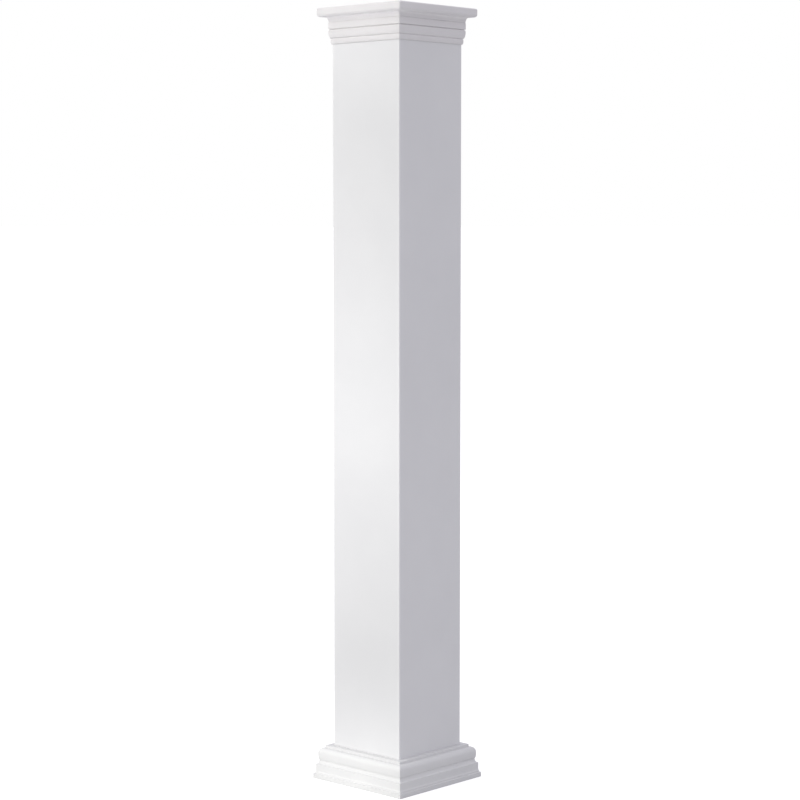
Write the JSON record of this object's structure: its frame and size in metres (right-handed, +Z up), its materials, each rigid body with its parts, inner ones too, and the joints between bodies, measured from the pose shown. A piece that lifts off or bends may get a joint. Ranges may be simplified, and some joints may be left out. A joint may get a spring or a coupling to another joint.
{
  "type": "square column",
  "caption": "Plain square porch column with a hollow shaft, a moulded capital under the soffit and a moulded base on the floor.",
  "frame": {"origin": "on the floor, at the middle of the column's underside", "axes": "+Z up along the shaft; X and Y square to its faces"},
  "size_m": [0.3824, 0.3824, 2.4384],
  "materials": {
    "shaft_white": "satin white gelcoat with faint upright draw lines",
    "capital_white": "smooth primed white, very fine orange peel",
    "base_white": "smooth primed white, very fine orange peel"
  },
  "bodies": {
    "root": {"shaft": "shaft_white", "capital": "capital_white", "base": "base_white"}
  },
  "joints": []
}
